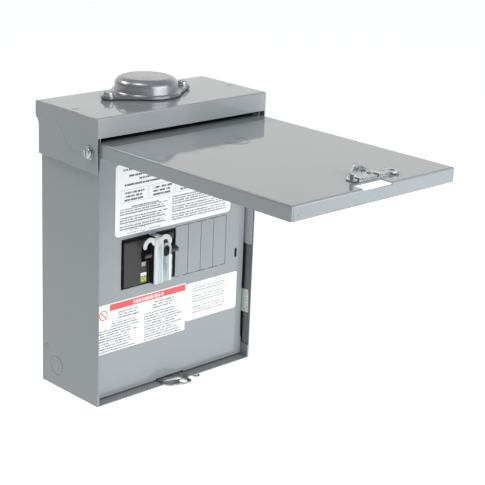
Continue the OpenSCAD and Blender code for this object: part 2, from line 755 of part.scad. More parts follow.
// a drilled terminal bar: wire holes along Z, a screw seat over each
module terminal_bar(x, z, y) difference() {
    block([x[0], y, z - 5], [x[1], y + 10, z + 5]);
    for (i = [0:terminals - 1]) translate([x[0] + 6 + i * terminal_pitch, y + 5, z - 6])
        cylinder(h = 12, r = 2.6);
}

module neutral_bar() color(tin) in_frame() difference() {
    terminal_bar(neutral_x, neutral_z, neutral_y);
    along_y(neutral_x[1] - 4, neutral_z, neutral_y - 1, neutral_y + 11, 2.3);
}

module neutral_insulators() color(nylon) in_frame() for (x = [neutral_x[0] + 1, neutral_x[1] - 19])
    block([x, neutral_y + 10, neutral_z - 7], [x + 10, back_y - sheet, neutral_z + 7]);

module neutral_screws() color(zinc) in_frame()
    bar_screws(neutral_x[0] + 6, neutral_z, neutral_y);

ground_x = [-52, 30];
ground_z = 34;
ground_y = back_y - sheet - 10;

module ground_bar() color(tin) in_frame() terminal_bar(ground_x, ground_z, ground_y);

module ground_screws() color(zinc) in_frame() bar_screws(ground_x[0] + 6, ground_z, ground_y);

// green screw that bonds the neutral bar to the box
module bonding_screw() color([0.2, 0.5, 0.3]) in_frame() {
    along_y(neutral_x[1] - 4, neutral_z, neutral_y, back_y - sheet, 2.2);
    translate([neutral_x[1] - 4, neutral_y, neutral_z]) rotate([90, 0, 0]) pan_head(4.2, 2.8);
}

// ---------------------------------------------------------------- door

door_t = sheet;
door_half_w = door_w / 2;
tongue_half_w = 109.4;
shoulder = -11.3;                           // where the full width starts, from the hinge axis
notch_deep = 14.5;
notch_down = 2.4;
ear_r = 6.6;

// everything on the door turns with it about the hinge
module on_door() in_frame() translate([0, hinge_y, hinge_z]) rotate([door_turn, 0, 0]) children();

// the door lies open: Y runs from its hinge to its free edge, Z is the way its face looks
module door() color(enamel) on_door() {
    difference() {
        union() {
            // face and its tongue under the hood
            translate([0, 0, face_rise - door_t]) linear_extrude(door_t) {
                translate([-door_half_w, -door_reach]) square([door_w, door_reach + shoulder]);
                translate([-tongue_half_w, shoulder - 1]) square([2 * tongue_half_w, tongue - shoulder + 1]);
            }
            // rolled edge that stiffens the tongue
            block([-tongue_half_w, tongue - door_t, face_rise - 6], [tongue_half_w, tongue, face_rise - 0.1]);
            // free edge
            block([-door_half_w, -door_reach, face_rise - door_flange],
                  [door_half_w, -door_reach + door_t, face_rise]);
            // long edges, each with an ear round its hinge pin
            both_sides() sideways(door_half_w - door_t, door_half_w) difference() {
                union() {
                    polygon([
                        [-door_reach, face_rise - door_flange], [-14, face_rise - door_flange],
                        [-3, -ear_r + 0.6], [-3, ear_r - 0.4], [shoulder, face_rise], [-door_reach, face_rise]
                    ]);
                    circle(ear_r);
                }
                circle(pin_r + 0.05);
            }
        }
        // notch that clears the strike
        block([-door_notch_w / 2, -door_reach - 1, face_rise - notch_down],
              [door_notch_w / 2, -door_reach + notch_deep, face_rise + 1]);
        for (x = rivet_places) translate([x, rivet_y, 0]) cylinder(h = 20, r = 1.65);
    }
    // two pressed rings as a plain ornament
    for (ring = [[15, 0.5], [9, 0.4]]) translate([9, -81, face_rise - 0.1]) linear_extrude(ring[1])
        difference() {
            circle(ring[0]);
            circle(ring[0] - 1.4);
        }
}

// ---------------------------------------------------------------- latch

latch_t = 1.4;
rivet_places = [-2, 24];
rivet_y = -251;
plate_y = [-267.2, -245];

// plate on the door's face with an upright ear and a pair of guides
module latch_plate() color(zinc) on_door() translate([0, 0, face_rise]) {
    difference() {
        linear_extrude(latch_t) polygon([
            [-12, plate_y[0] + 5], [-9, plate_y[0]], [33, plate_y[0]], [35, plate_y[0] + 3],
            [33, plate_y[1]], [0, plate_y[1]], [-12, plate_y[0] + 14]
        ]);
        for (x = rivet_places) translate([x, rivet_y, -1]) cylinder(h = 4, r = 1.65);
    }
    // upright ear
    upright(plate_y[1] - latch_t, plate_y[1])
        polygon([[1, 0.2], [30, 0.2], [29.4, 1.6], [20, 7.4], [11, 11.8], [8.6, 12.4], [7.2, 11.6], [1.6, 2]]);
    // guides that the slide runs under
    for (x = [-7, 21]) difference() {
        block([x, slide_y[0] - 1.4, latch_t - 0.1], [x + 5, slide_y[1] + 1.4, slide_top + 1.2]);
        block([x - 1, slide_y[0] - 0.2, 0], [x + 6, slide_y[1] + 0.2, slide_top + 0.2]);
    }
}

module latch_rivets() color(zinc) on_door() for (x = rivet_places) translate([x, rivet_y, 0]) {
    translate([0, 0, face_rise + latch_t]) rotate_extrude()
        polygon([[0, 0], [3, 0], [2.7, 0.9], [1.6, 1.4], [0, 1.5]]);
    translate([0, 0, face_rise - door_t - 0.1]) cylinder(h = latch_t + door_t + 0.2, r = 1.6);
    translate([0, 0, face_rise - door_t - 1]) cylinder(h = 1, r = 2.8);
}

slide_t = 1.5;
slide_lift = latch_t + 0.15;
slide_top = slide_lift + slide_t;
slide_y = [-264.4, -259.6];
slide_eye = [44.5, -260.5];
slide_eye_r = 3.6;

// bar that runs in the guides, ending in a raised eye for a padlock
module latch_slide() color(zinc) on_door() translate([-latch_move, 0, face_rise + slide_lift]) {
    linear_extrude(slide_t) difference() {
        union() {
            translate([-14, slide_y[0]]) square([52, slide_y[1] - slide_y[0]]);
            translate(slide_eye) circle(8);
        }
        translate(slide_eye) circle(slide_eye_r);
    }
    block([-14, slide_y[0], 0], [-12.6, slide_y[1], 6.5]);
}

box_shell();
box_floor();
hood_top();
hood_flap_left();
hood_flap_right();
hub_gasket();
hub_cap();
hub_screws();
hinge_pins();
strike();
strike_rivets();
grounding_stud();
dead_front();
dead_front_clips();
dead_front_screws();
label_wiring();
label_hazard();
label_torque();
label_wall_upper();
label_wall_lower();
breaker_left();
breaker_right();
breaker_left_handle();
breaker_right_handle();
breaker_left_terminals();
breaker_right_terminals();
breaker_left_window();
breaker_right_window();
rating_label_left();
rating_label_right();
interlock_bracket();
interlock_pivot();
interlock_lever();
interior_pan();
breaker_rail();
bus_insulator();
bus_bar_a();
bus_bar_b();
bus_screws();
main_lugs();
main_lug_screws();
neutral_bar();
neutral_insulators();
neutral_screws();
ground_bar();
ground_screws();
bonding_screw();
door();
latch_plate();
latch_rivets();
latch_slide();
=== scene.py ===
import json
import math

import bpy
from mathutils import Matrix, Vector

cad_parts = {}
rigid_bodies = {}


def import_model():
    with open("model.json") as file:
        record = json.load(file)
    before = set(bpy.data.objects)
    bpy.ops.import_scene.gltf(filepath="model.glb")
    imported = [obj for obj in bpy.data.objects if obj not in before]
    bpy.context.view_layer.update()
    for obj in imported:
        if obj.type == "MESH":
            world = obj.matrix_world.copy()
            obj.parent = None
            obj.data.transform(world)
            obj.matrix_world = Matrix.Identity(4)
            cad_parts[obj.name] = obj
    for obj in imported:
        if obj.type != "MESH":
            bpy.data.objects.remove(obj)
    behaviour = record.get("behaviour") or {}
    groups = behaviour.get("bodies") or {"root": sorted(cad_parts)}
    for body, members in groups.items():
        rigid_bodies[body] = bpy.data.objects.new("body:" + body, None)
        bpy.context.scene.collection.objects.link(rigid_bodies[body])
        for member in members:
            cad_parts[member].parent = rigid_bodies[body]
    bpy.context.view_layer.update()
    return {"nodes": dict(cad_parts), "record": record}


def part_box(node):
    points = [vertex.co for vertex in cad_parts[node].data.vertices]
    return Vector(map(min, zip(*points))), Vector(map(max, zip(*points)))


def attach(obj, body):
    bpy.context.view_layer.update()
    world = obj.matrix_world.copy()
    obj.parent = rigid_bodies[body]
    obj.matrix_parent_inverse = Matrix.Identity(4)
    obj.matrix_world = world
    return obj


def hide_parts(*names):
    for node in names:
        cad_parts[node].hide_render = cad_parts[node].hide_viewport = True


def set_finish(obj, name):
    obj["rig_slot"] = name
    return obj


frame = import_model()
nodes = frame["nodes"]
MM = 0.001


# ---------------------------------------------------------------- sizes that several pieces share

def low(node):
    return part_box(node)[0]


def high(node):
    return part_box(node)[1]


floor_z = low("box_shell").z
trim_y = low("dead_front").y
door_face_z = low("latch_plate").z


# ---------------------------------------------------------------- hand-modelling helpers

def alone(piece):
    """Select one piece and nothing else, and make it the one being worked on."""
    bpy.ops.object.select_all(action="DESELECT")
    piece.select_set(True)
    bpy.context.view_layer.objects.active = piece


def settle(piece, name):
    """Name a finished piece and put its place into its mesh."""
    alone(piece)
    bpy.ops.object.transform_apply(location=True, rotation=True, scale=True)
    piece.name = name
    piece.data.name = name
    return piece


def keep_modifiers(piece):
    alone(piece)
    for modifier in list(piece.modifiers):
        bpy.ops.object.modifier_apply(modifier=modifier.name)


def smooth(piece, degrees=35):
    """Smooth the bends while the wide flat faces stay flat."""
    alone(piece)
    bpy.ops.object.shade_smooth_by_angle(angle=math.radians(degrees))
    bpy.ops.object.modifier_add(type="WEIGHTED_NORMAL")
    piece.modifiers[-1].weight = 100
    piece.modifiers[-1].keep_sharp = True
    keep_modifiers(piece)


def worked_copy(node):
    """A clean copy of a CAD node, with its loose triangles joined into whole faces."""
    source = nodes[node]
    piece = source.copy()
    piece.data = source.data.copy()
    bpy.context.scene.collection.objects.link(piece)
    for key in [key for key in piece.keys() if key.startswith("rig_")]:
        del piece[key]
    piece.parent = None
    piece.matrix_world = Matrix.Identity(4)
    piece.name = node + "_skin"
    piece.data.name = piece.name
    alone(piece)
    if piece.data.has_custom_normals:
        bpy.ops.mesh.customdata_custom_splitnormals_clear()
    bpy.ops.object.mode_set(mode="EDIT")
    bpy.ops.mesh.select_all(action="SELECT")
    bpy.ops.mesh.remove_doubles(threshold=0.000002)
    bpy.ops.mesh.dissolve_limited(angle_limit=math.radians(0.4))
    bpy.ops.object.mode_set(mode="OBJECT")
    return piece


def round_folds(piece, on_fold, radius, segments=6):
    """Bevel the edges whose two ends both satisfy on_fold, as a bend in sheet metal."""
    alone(piece)
    bpy.ops.object.mode_set(mode="EDIT")
    bpy.ops.mesh.select_mode(type="EDGE")
    bpy.ops.mesh.select_all(action="DESELECT")
    bpy.ops.object.mode_set(mode="OBJECT")
    corners = piece.data.vertices
    for edge in piece.data.edges:
        a, b = (corners[i].co for i in edge.vertices)
        edge.select = on_fold(a, b)
    bpy.ops.object.mode_set(mode="EDIT")
    bpy.ops.mesh.bevel(offset=radius, segments=segments, profile=0.5, affect="EDGES")
    bpy.ops.object.mode_set(mode="OBJECT")


def near(value, target, slack=0.00005):
    return abs(value - target) < slack


# ---------------------------------------------------------------- material helpers

class Paint:
    """A material under construction: its node tree, its shader and short names for common nodes."""

    def __init__(self, name):
        self.material = bpy.data.materials.new(name)
        self.material.use_nodes = True
        self.tree = self.material.node_tree
        self.shader = self.tree.nodes["Principled BSDF"]
        self.place = self.tree.nodes.new("ShaderNodeTexCoord").outputs["Object"]
        self.axes = None

    def set(self, **values):
        for name, value in values.items():
            self.shader.inputs[name.replace("_", " ")].default_value = value
        return self

    def node(self, kind, **settings):
        made = self.tree.nodes.new(kind)
        for name, value in settings.items():
            setattr(made, name, value)
        return made

    def feed(self, socket, value):
        if isinstance(value, (int, float)):
            socket.default_value = value
        elif isinstance(value, tuple):
            socket.default_value = (*value, 1.0)
        else:
            self.tree.links.new(value, socket)

    def math(self, operation, a, b=0.0, c=0.0):
        made = self.node("ShaderNodeMath", operation=operation)
        for socket, value in zip(made.inputs, (a, b, c)):
            self.feed(socket, value)
        return made.outputs[0]

    def noise(self, scale, detail=3.0, roughness=0.5, stretch=(1, 1, 1)):
        mapping = self.node("ShaderNodeMapping")
        mapping.inputs["Scale"].default_value = stretch
        self.tree.links.new(self.place, mapping.inputs["Vector"])
        made = self.node("ShaderNodeTexNoise")
        made.inputs["Scale"].default_value = scale
        made.inputs["Detail"].default_value = detail
        made.inputs["Roughness"].default_value = roughness
        self.tree.links.new(mapping.outputs[0], made.inputs["Vector"])
        return made.outputs["Fac"]

    def spread(self, value, from_low, from_high, to_low, to_high):
        made = self.node("ShaderNodeMapRange")
        for socket, number in zip(made.inputs, (value, from_low, from_high, to_low, to_high)):
            self.feed(socket, number)
        return made.outputs[0]

    def mix(self, amount, first, second):
        made = self.node("ShaderNodeMix", data_type="RGBA")
        self.feed(made.inputs[0], amount)
        self.feed(made.inputs[6], first)
        self.feed(made.inputs[7], second)
        return made.outputs[2]

    def colour(self, value):
        self.feed(self.shader.inputs["Base Color"], value)
        return self

    def roughness(self, value):
        self.feed(self.shader.inputs["Roughness"], value)
        return self

    def surface(self, height=None, strength=0.1, distance=0.0002, edge=0.0):
        """Bump from a height, over edges softened to a small radius."""
        normal = None
        if edge:
            softened = self.node("ShaderNodeBevel", samples=6)
            softened.inputs["Radius"].default_value = edge
            normal = softened.outputs[0]
        if height is not None:
            bump = self.node("ShaderNodeBump")
            bump.inputs["Strength"].default_value = strength
            bump.inputs["Distance"].default_value = distance
            self.tree.links.new(height, bump.inputs["Height"])
            if normal is not None:
                self.tree.links.new(normal, bump.inputs["Normal"])
            normal = bump.outputs[0]
        self.tree.links.new(normal, self.shader.inputs["Normal"])
        return self

    def split(self):
        """The three coordinates of the surface point, in millimetres."""
        if self.axes is None:
            separate = self.node("ShaderNodeSeparateXYZ")
            self.tree.links.new(self.place, separate.inputs[0])
            self.axes = [self.math("MULTIPLY", separate.outputs[i], 1000.0) for i in range(3)]
        return self.axes

    def between(self, value, first, last):
        return self.math("MULTIPLY", self.math("GREATER_THAN", value, first),
                         self.math("LESS_THAN", value, last))

    def distance(self, across, up):
        """How far a point is from the origin of two coordinates that were shifted to a mark's centre."""
        return self.math("SQRT", self.math("ADD", self.math("POWER", across, 2.0),
                                           self.math("POWER", up, 2.0)))

    def patch(self, across, up, left, right, bottom, top):
        return self.math("MULTIPLY", self.between(across, left, right), self.between(up, bottom, top))

    def frame_line(self, across, up, left, right, bottom, top, width):
        outer = self.patch(across, up, left, right, bottom, top)
        inner = self.patch(across, up, left + width, right - width, bottom + width, top - width)
        return self.math("SUBTRACT", outer, inner)

    def bars(self, across, up, left, right, bottom, top, pitch, height, fill, letter=1.4, ragged=0.0):
        """Rows of broken bars that stand in for print: no letters, only dashes of uneven length."""
        row = self.math("FLOOR", self.math("DIVIDE", self.math("SUBTRACT", up, bottom), pitch))
        within = self.math("MODULO", self.math("SUBTRACT", up, bottom), pitch)
        line = self.math("LESS_THAN", within, height)
        spot = self.node("ShaderNodeCombineXYZ")
        self.feed(spot.inputs[0], self.math("DIVIDE", across, letter))
        self.feed(spot.inputs[1], self.math("MULTIPLY", row, 7.31))
        dashes = self.node("ShaderNodeTexNoise", noise_dimensions="2D")
        dashes.inputs["Scale"].default_value = 1.0
        dashes.inputs["Detail"].default_value = 1.0
        self.tree.links.new(spot.outputs[0], dashes.inputs["Vector"])
        ink = self.math("LESS_THAN", dashes.outputs["Fac"], fill)
        end = right
        if ragged:
            turn = self.node("ShaderNodeTexWhiteNoise", noise_dimensions="1D")
            self.feed(turn.inputs["W"], self.math("ADD", row, left))
            end = self.math("SUBTRACT", right, self.math("MULTIPLY", turn.outputs["Value"], ragged))
        area = self.math("MULTIPLY", self.between(across, left, end), self.between(up, bottom, top))
        return self.math("MULTIPLY", area, self.math("MULTIPLY", line, ink))


def either(paint, *masks):
    total = masks[0]
    for mask in masks[1:]:
        total = paint.math("MAXIMUM", total, mask)
    return total


# ---------------------------------------------------------------- finishes

SHADOW = (0.02, 0.022, 0.024)


def enamel_paint(name):
    """Glossy baked enamel: a slight orange peel, faint mottling and edges that catch the light."""
    paint = Paint(name)
    mottle = paint.noise(9.0, detail=4.0)
    paint.base = paint.mix(mottle, (0.218, 0.240, 0.250), (0.246, 0.267, 0.276))
    paint.peel = paint.math("MULTIPLY", paint.noise(420.0, detail=2.0), 0.02)
    paint.roughness(paint.spread(paint.noise(60.0), 0.3, 0.7, 0.05, 0.09))
    paint.set(IOR=1.55)
    return paint


def enamel_surface(paint, height=None):
    paint.surface(paint.peel if height is None else height, strength=0.3, distance=0.001, edge=0.0005)


def grey_enamel():
    paint = enamel_paint("grey_enamel")
    paint.colour(paint.base)
    enamel_surface(paint)
    return paint.material


def box_enamel():
    """The box's paint, with painted shade inside and a painted shadow line where the dead front's edges
    meet it.
    """
    paint = enamel_paint("box_enamel")
    x, y, z = paint.split()
    half_width = high("box_shell").x / MM
    inside = paint.math("MULTIPLY", paint.math("LESS_THAN", paint.math("ABSOLUTE", x), half_width - 0.8),
                        paint.math("GREATER_THAN", z, floor_z / MM + 0.8))
    behind_trim = paint.math("MULTIPLY", inside, paint.between(y, trim_y / MM - 1.2, trim_y / MM + 2.5))
    # painted shade: the inside surfaces are darkened as if in shade
    shaded = paint.mix(paint.math("MULTIPLY", 0.45, inside), paint.base, (0.05, 0.055, 0.06))
    # painted shadow: a near-black line behind the dead front's edges
    paint.colour(paint.mix(paint.math("MULTIPLY", 0.9, behind_trim), shaded, (0.015, 0.016, 0.018)))
    enamel_surface(paint)
    return paint.material


def trim_enamel():
    """The dead front's paint, with a painted shadow line along its outer edges."""
    paint = enamel_paint("trim_enamel")
    x, _, z = paint.split()
    half_width = high("dead_front").x / MM
    at_side = paint.math("GREATER_THAN", paint.math("ABSOLUTE", x), half_width - 1.2)
    at_foot = paint.math("LESS_THAN", z, low("dead_front").z / MM + 1.4)
    edge = paint.math("MAXIMUM", at_side, at_foot)
    # painted shadow: the side and foot edges darkened to the shadow colour
    paint.colour(paint.mix(paint.math("MULTIPLY", 0.85, edge), paint.base, SHADOW))
    enamel_surface(paint)
    return paint.material


def hood_enamel():
    """The hood's paint, with painted light making the front lip paler, and a painted shadow line along
    each side seam.
    """
    paint = enamel_paint("hood_enamel")
    x, y, _ = paint.split()
    edge_x = high("hood_top").x / MM
    lip = paint.math("LESS_THAN", y, low("hood_top").y / MM + 0.4)
    seam = paint.math("MULTIPLY", paint.between(paint.math("ABSOLUTE", x), edge_x - 2.0, edge_x - 0.4),
                      paint.math("GREATER_THAN", y, -70.0))
    # painted light: the front lip is painted paler as if lit from the front
    with_lit_lip = paint.mix(paint.math("MULTIPLY", 0.8, lip), paint.base, (0.32, 0.34, 0.35))
    # painted shadow along each side seam
    paint.colour(paint.mix(paint.math("MULTIPLY", 0.85, seam), with_lit_lip, SHADOW))
    enamel_surface(paint)
    return paint.material


WELD = (-106.8, 131.8)


def door_enamel():
    """The door's paint, with a painted shadow, nearly black, in the band the hood shades, and a spot weld
    near one corner.
    """
    paint = enamel_paint("door_enamel")
    x, y, z = paint.split()
    # painted shadow: the band under the hood fades to near black
    shaded = paint.spread(y, -101.0, -97.0, 0.0, 1.0)
    end_face = paint.math("LESS_THAN", y, low("door").y / MM + 1.0)
    from_weld = paint.distance(paint.math("SUBTRACT", x, WELD[0]), paint.math("SUBTRACT", z, WELD[1]))
    dimple = paint.math("MULTIPLY", end_face, paint.spread(from_weld, 0.6, 2.0, 1.0, 0.0))
    pit = paint.math("MULTIPLY", end_face, paint.math("LESS_THAN", from_weld, 0.7))
    seam = paint.math("MULTIPLY", end_face, paint.between(paint.math("ABSOLUTE", x), 112.3, 112.9))
    marks = paint.math("MAXIMUM", paint.math("MULTIPLY", 0.7, pit), paint.math("MULTIPLY", 0.6, seam))
    banded = paint.mix(paint.math("MULTIPLY", 0.92, shaded), paint.base, (0.008, 0.009, 0.010))
    paint.colour(paint.mix(marks, banded, (0.02, 0.02, 0.022)))
    enamel_surface(paint, paint.math("SUBTRACT", paint.peel, paint.math("MULTIPLY", dimple, 0.4)))
    return paint.material


def flap_enamel():
    """The hood flaps' paint, over two shallow pressed folds that clear the box behind."""
    paint = enamel_paint("flap_enamel")
    _, y, z = paint.split()
    bend = paint.math("TANH", paint.math("DIVIDE", paint.math("ADD", y, 49.0), 10.0))
    over_bend = paint.math("SUBTRACT", z, paint.math("ADD", 140.0, paint.math("MULTIPLY", 14.0, bend)))
    long_fold = paint.spread(over_bend, -2.2, 2.2, 1.0, 0.0)
    leaning = paint.math("ADD", y, paint.math("MULTIPLY", paint.math("SUBTRACT", 126.0, z), 0.35))
    short_fold = paint.math("MULTIPLY", paint.spread(leaning, -80.5, -77.0, 1.0, 0.0),
                            paint.spread(z, 122.0, 128.0, 1.0, 0.0))
    paint.colour(paint.base)
    folds = paint.math("ADD", paint.math("MULTIPLY", long_fold, 1.6), short_fold)
    enamel_surface(paint, paint.math("ADD", paint.peel, folds))
    return paint.material


def bright_zinc():
    """Zinc plate with rolling streaks and a blue cast."""
    paint = Paint("bright_zinc")
    streak = paint.noise(160.0, detail=5.0, stretch=(1, 1, 0.12))
    cloud = paint.noise(70.0)
    tint = paint.mix(cloud, (0.28, 0.31, 0.33), (0.42, 0.43, 0.42))
    paint.colour(paint.mix(paint.spread(streak, 0.4, 0.62, 0.0, 0.7), tint, (0.55, 0.58, 0.60)))
    paint.roughness(paint.spread(streak, 0.3, 0.7, 0.2, 0.4))
    paint.set(Metallic=0.85)
    paint.surface(streak, strength=0.12, distance=0.0002, edge=0.0003)
    return paint.material


def polished_zinc():
    """Bright rolled zinc on the latch plate, smooth enough to mirror the room in soft bands."""
    paint = Paint("polished_zinc")
    streak = paint.noise(130.0, detail=5.0, stretch=(1, 0.15, 1))
    paint.colour(paint.mix(streak, (0.34, 0.36, 0.38), (0.62, 0.64, 0.65)))
    paint.roughness(paint.spread(streak, 0.3, 0.7, 0.18, 0.32))
    paint.set(Metallic=1.0)
    paint.surface(streak, strength=0.10, distance=0.0002, edge=0.0004)
    return paint.material


def bracket_zinc():
    """Bluer zinc with upright streaks; the leg beside the strip is painted darker as shade, and the
    bright lines along the joint and the loop's rim are painted highlights.
    """
    paint = Paint("bracket_zinc")
    x, _, z = paint.split()
    streak = paint.noise(260.0, detail=5.0, stretch=(1, 1, 0.08))
    leg = paint.math("GREATER_THAN", x, -21.6)
    # painted highlight along the joint between strip and leg
    joint_highlight = paint.between(x, -22.4, -21.4)
    # painted highlight on the loop's rim
    rim = paint.math("MULTIPLY", paint.between(x, -12.2, -9.0), paint.math("LESS_THAN", z, 2.0))
    strip = paint.mix(paint.spread(streak, 0.4, 0.6, 0.0, 1.0), (0.28, 0.33, 0.35), (0.48, 0.54, 0.55))
    # painted shade: the leg gets a darker copy of the strip's zinc
    leg_shaded = paint.mix(paint.spread(streak, 0.4, 0.6, 0.0, 1.0), (0.14, 0.18, 0.20), (0.34, 0.40, 0.42))
    two = paint.mix(leg, strip, leg_shaded)
    paint.colour(paint.mix(paint.math("MAXIMUM", joint_highlight, rim), two, (0.66, 0.71, 0.73)))
    paint.roughness(paint.spread(streak, 0.3, 0.7, 0.28, 0.46))
    paint.set(Metallic=0.55)
    paint.surface(streak, strength=0.15, distance=0.0002, edge=0.0003)
    return paint.material


def lever_zinc():
    """Smooth, pale, rumbled zinc on the interlock lever."""
    paint = Paint("lever_zinc")
    cloud = paint.noise(240.0, detail=3.0)
    paint.colour(paint.mix(cloud, (0.43, 0.43, 0.43), (0.50, 0.50, 0.49)))
    paint.roughness(paint.spread(cloud, 0.3, 0.7, 0.34, 0.5))
    paint.set(Metallic=0.35)
    paint.surface(cloud, strength=0.08, distance=0.0002, edge=0.0005)
    return paint.material


def dull_zinc():
    """Darker handled zinc for the strike, worn bright in places."""
    paint = Paint("dull_zinc")
    cloud = paint.noise(120.0, detail=5.0)
    worn = paint.spread(cloud, 0.4, 0.65, 0.0, 1.0)
    paint.colour(paint.mix(worn, (0.20, 0.20, 0.20), (0.46, 0.46, 0.45)))
    paint.roughness(paint.spread(cloud, 0.3, 0.7, 0.5, 0.3))
    paint.set(Metallic=0.8)
    paint.surface(cloud, strength=0.2, distance=0.0002, edge=0.0003)
    return paint.material


def cap_finish():
    """Satin metallic grey with a faint violet cast, for the hub cap."""
    paint = Paint("cap_finish")
    fleck = paint.noise(900.0, detail=2.0)
    cloud = paint.noise(30.0)
    base = paint.mix(cloud, (0.245, 0.245, 0.262), (0.295, 0.292, 0.310))
    paint.colour(paint.mix(paint.spread(fleck, 0.5, 0.7, 0.0, 0.6), base, (0.37, 0.37, 0.385)))
    paint.roughness(paint.spread(cloud, 0.3, 0.7, 0.22, 0.30))
    paint.set(Metallic=0.6)
    paint.surface(fleck, strength=0.06, distance=0.0001, edge=0.0004)
    return paint.material


def gasket_rubber():
    paint = Paint("gasket_rubber")
    grain = paint.noise(700.0)
    paint.colour(paint.mix(grain, (0.02, 0.02, 0.02), (0.045, 0.045, 0.045)))
    paint.roughness(paint.spread(grain, 0.3, 0.7, 0.6, 0.8))
    paint.surface(grain, strength=0.3, distance=0.0002)
    return paint.material


def galvanised_steel():
    """Spangled galvanising: crystal patches of slightly different brightness."""
    paint = Paint("galvanised_steel")
    crystals = paint.node("ShaderNodeTexVoronoi")
    crystals.inputs["Scale"].default_value = 110.0
    paint.tree.links.new(paint.place, crystals.inputs["Vector"])
    shade = paint.node("ShaderNodeSeparateColor")
    paint.tree.links.new(crystals.outputs["Color"], shade.inputs[0])
    patch = shade.outputs[0]
    paint.colour(paint.mix(patch, (0.42, 0.44, 0.46), (0.62, 0.64, 0.66)))
    paint.roughness(paint.spread(patch, 0.0, 1.0, 0.3, 0.5))
    paint.set(Metallic=0.9)
    paint.surface(patch, strength=0.08, distance=0.0001, edge=0.0003)
    return paint.material


def tin_plate():
    """Soft white tin plate with fine scratches."""
    paint = Paint("tin_plate")
    scratch = paint.noise(300.0, detail=6.0, stretch=(0.1, 1, 1))
    paint.colour(paint.mix(scratch, (0.62, 0.61, 0.58), (0.78, 0.77, 0.74)))
    paint.roughness(paint.spread(scratch, 0.3, 0.7, 0.25, 0.45))
    paint.set(Metallic=0.95)
    paint.surface(scratch, strength=0.1, distance=0.0001, edge=0.0003)
    return paint.material


def case_moulding():
    """Dark brown-grey moulded case with a fine spark-eroded grain."""
    paint = Paint("case_moulding")
    grain = paint.noise(1400.0, detail=2.0)
    cloud = paint.noise(40.0)
    paint.colour(paint.mix(cloud, (0.026, 0.025, 0.025), (0.038, 0.036, 0.036)))
    paint.roughness(paint.spread(grain, 0.3, 0.7, 0.38, 0.5))
    paint.set(Specular_IOR_Level=0.3)
    paint.surface(grain, strength=0.15, distance=0.0001, edge=0.0004)
    return paint.material


def handle_moulding():
    """Glossier black moulding for the handles, dulled a little where fingers rub."""
    paint = Paint("handle_moulding")
    cloud = paint.noise(150.0)
    paint.colour(paint.mix(cloud, (0.010, 0.010, 0.010), (0.022, 0.021, 0.021)))
    paint.roughness(paint.spread(cloud, 0.3, 0.7, 0.2, 0.34))
    paint.surface(paint.noise(900.0), strength=0.06, distance=0.0001, edge=0.0006)
    return paint.material


def status_window():
    paint = Paint("status_window")
    cloud = paint.noise(400.0)
    paint.colour(paint.mix(cloud, (0.16, 0.16, 0.17), (0.30, 0.30, 0.31)))
    paint.roughness(paint.spread(cloud, 0.3, 0.7, 0.06, 0.14))
    paint.set(Coat_Weight=0.6)
    paint.surface(cloud, strength=0.05, distance=0.0001, edge=0.0003)
    return paint.material


def nylon():
    paint = Paint("natural_nylon")
    cloud = paint.noise(120.0)
    paint.colour(paint.mix(cloud, (0.70, 0.69, 0.64), (0.80, 0.79, 0.75)))
    paint.roughness(paint.spread(cloud, 0.3, 0.7, 0.35, 0.5))
    paint.set(Subsurface_Weight=0.15)
    paint.surface(cloud, strength=0.05, distance=0.0001, edge=0.0004)
    return paint.material


def green_plating():
    paint = Paint("green_plating")
    cloud = paint.noise(250.0)
    paint.colour(paint.mix(cloud, (0.03, 0.20, 0.07), (0.06, 0.32, 0.12)))
    paint.roughness(paint.spread(cloud, 0.3, 0.7, 0.25, 0.4))
    paint.set(Metallic=0.5)
    paint.surface(cloud, strength=0.08, distance=0.0001, edge=0.0003)
    return paint.material


def print_paper(name):
    """The ground that every printed label starts from: coated paper with a faint fibre."""
    paint = Paint(name)
    fibre = paint.noise(500.0, detail=4.0)
    paint.ground = paint.mix(fibre, (0.70, 0.71, 0.72), (0.76, 0.765, 0.77))
    paint.roughness(paint.spread(fibre, 0.3, 0.7, 0.42, 0.55))
    paint.surface(fibre, strength=0.04, distance=0.0001)
    return paint


# ---------------------------------------------------------------- printed labels

INK = (0.03, 0.03, 0.035)
GREY_INK = (0.10, 0.10, 0.105)
RED_INK = (0.58, 0.075, 0.08)


BOX_LEFTS = (-75, -36, 3, 42)


